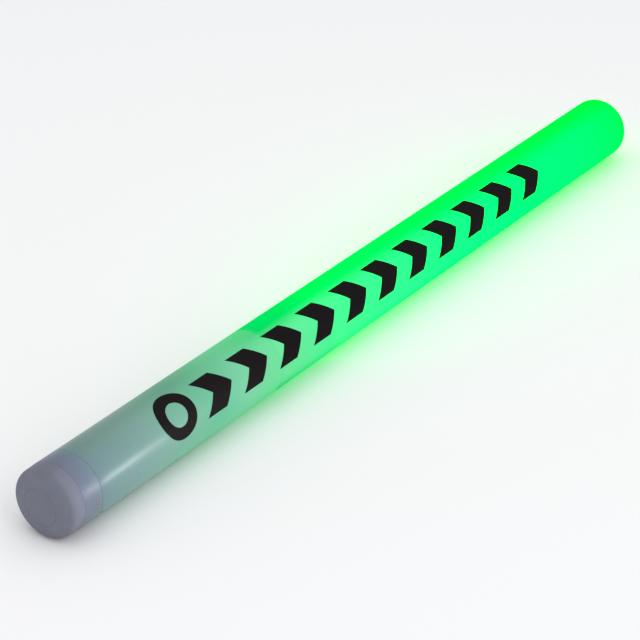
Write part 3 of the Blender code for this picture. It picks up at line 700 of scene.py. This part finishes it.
def make_marks():
    """Plain printed marks: a ring, then a row of chevrons that point to the tip."""
    paint = ink_paint()
    half = CHEVRON_HEIGHT / 2
    up_steps, bar_steps, ring_steps, band_steps = 24, 4, 96, 10
    for number in range(CHEVRON_COUNT):
        start = CHEVRON_START + CHEVRON_PITCH * number
        rows = []
        for k in range(up_steps + 1):
            v = -half + CHEVRON_HEIGHT * k / up_steps
            lead = start + CHEVRON_POINT * (1 - abs(v) / half)
            rows.append([(lead + CHEVRON_BAR * j / bar_steps, v) for j in range(bar_steps + 1)])
        print_patch(f"printed_chevron_{number + 1:02d}", rows, CHEVRON_ANGLE, paint)
    band = RING_OUTER - RING_INNER
    radii = [RING_INNER + band * j / band_steps for j in range(band_steps + 1)]
    turns = [math.tau * k / ring_steps for k in range(ring_steps)]
    rows = [[(RING_STATION + r * math.cos(t), r * math.sin(t)) for r in radii] for t in turns]
    print_patch("printed_ring", rows, RING_ANGLE, paint, ring=True)


def repaint_inside():
    """Every CAD node that still shows gets the paint that belongs to its material slot."""
    paints = {
        "seal_rubber": moulded("seal_rubber", (0.03, 0.03, 0.03), 0.5, 0.65),
        "white_plastic": moulded("white_plastic", (0.78, 0.78, 0.76), 0.38, 0.5),
        "black_plastic": moulded("black_plastic", (0.03, 0.03, 0.035), 0.38, 0.52),
        "spring_steel": metal("spring_steel", (0.6, 0.6, 0.62), 0.22, 0.36),
        "nickel": metal("nickel", (0.72, 0.7, 0.66), 0.2, 0.32, (1.0, 0.1, 1.0)),
        "mirror_plating": metal("mirror_plating", (0.85, 0.85, 0.86), 0.05, 0.12, (1.0, 1.0, 1.0)),
        "circuit_board": circuit_board(),
        "resistor_ceramic": moulded("resistor_ceramic", (0.05, 0.05, 0.06), 0.3, 0.45, 3000.0),
        "led_epoxy": clear("led_epoxy", (0.3, 0.95, 0.45), 0.05, 0.7),
        "clear_plastic": clear("clear_plastic", (0.9, 0.95, 0.92), 0.03, 0.9),
        "red_insulation": moulded("red_insulation", (0.65, 0.03, 0.02), 0.35, 0.5),
        "black_insulation": moulded("black_insulation", (0.02, 0.02, 0.02), 0.35, 0.5),
        "white_insulation": moulded("white_insulation", (0.8, 0.8, 0.78), 0.35, 0.5),
    }
    for part in frame["record"]["subparts"]:
        name, slot = part["node"], part["material_slot"]
        node = frame["nodes"][name]
        if slot == "cell_wrap":
            # the middle cell lies the other way round
            node.material_slots[0].material = cell_wrap(name, forwards=name != "battery_2")
        elif slot in paints:
            node.material_slots[0].material = paints[slot]


# ---------------------------------------------------------------- the studio

FLOOR_HALF = 6.0
CAMERA_PLACE = (-0.73792, -0.49565, 0.48345)
CAMERA_GAZE = (0.718606, 0.504127, -0.479020)
CAMERA_LENS = 137.62


def make_floor():
    """A plain pale floor, under the baton and well past the camera."""
    mesh = bpy.data.meshes.new("floor")
    shape = bmesh.new()
    bmesh.ops.create_grid(shape, x_segments=8, y_segments=8, size=FLOOR_HALF)
    shape.to_mesh(mesh)
    shape.free()
    paint = Paint("floor", (0.92, 0.92, 0.92), 0.8, specular=0.1)
    mesh.materials.append(paint.material)
    floor = bpy.data.objects.new("floor", mesh)
    bpy.context.scene.collection.objects.link(floor)


def area_light(name, place, target, width, height, watts, spread=180.0, roll=0.0):
    """A rectangular lamp that the camera can't see, aimed at a target. Angles in degrees."""
    light = bpy.data.lights.new(name, "AREA")
    light.shape = "RECTANGLE"
    light.size = width
    light.size_y = height
    light.energy = watts
    light.spread = math.radians(spread)
    lamp = bpy.data.objects.new(name, light)
    lamp.location = place
    aim = (Vector(target) - Vector(place)).to_track_quat("-Z", "Y")
    lamp.rotation_euler = (aim @ Quaternion((0, 0, 1), math.radians(roll))).to_euler()
    lamp.visible_camera = False
    bpy.context.scene.collection.objects.link(lamp)
    return lamp


def make_lights():
    """A pale surround and two softboxes, and a strip that makes the streak on the grip."""
    world = bpy.data.worlds.new("studio")
    world.use_nodes = True
    background = world.node_tree.nodes["Background"]
    background.inputs["Color"].default_value = (0.98, 0.985, 1.0, 1.0)
    background.inputs["Strength"].default_value = 0.8
    bpy.context.scene.world = world
    middle = (0.0, 0.0, 0.0)
    overhead, in_front = (-0.1, 0.1, 1.4), (-0.35, -1.1, 0.9)
    area_light("overhead_softbox", overhead, middle, width=1.6, height=1.2, watts=3.5)
    area_light("front_softbox", in_front, middle, width=1.4, height=1.1, watts=4.0)

    # a low slanting strip, where the grip's shoulder mirrors it to the camera
    shoulder = Vector((REAR + 28 * MM, -12.7 * MM, 19.8 * MM))
    mirrored_view = Vector((0.6437, -0.7610, 0.0824))
    distance, lowered = 200 * MM, Vector((0.0, 0.0, 12 * MM))
    low_strip = area_light(
        "low_strip", shoulder + mirrored_view * distance - lowered, shoulder,
        width=60 * MM, height=12 * MM, watts=0.03, spread=60.0, roll=52.0,
    )
    # it lights the baton alone, so that it leaves no bright patch on the floor
    baton_only = bpy.data.collections.new("lit_by_low_strip")
    for piece in bpy.context.scene.collection.objects:
        if piece.type == "MESH" and piece.name != "floor":
            baton_only.objects.link(piece)
    low_strip.light_linking.receiver_collection = baton_only


def make_camera():
    """The photograph's view: from beyond the cap's end, to one side and above."""
    data = bpy.data.cameras.new("camera")
    data.lens = CAMERA_LENS
    data.sensor_width = 36.0
    camera = bpy.data.objects.new("camera", data)
    camera.location = CAMERA_PLACE
    camera.rotation_euler = Vector(CAMERA_GAZE).to_track_quat("-Z", "Y").to_euler()
    bpy.context.scene.collection.objects.link(camera)
    bpy.context.scene.camera = camera
    bpy.context.scene.view_settings.view_transform = "Standard"


make_camera()
lit_paint = make_tube()
make_tip(lit_paint)
make_cap()
make_button()
make_marks()
repaint_inside()
make_floor()
make_lights()
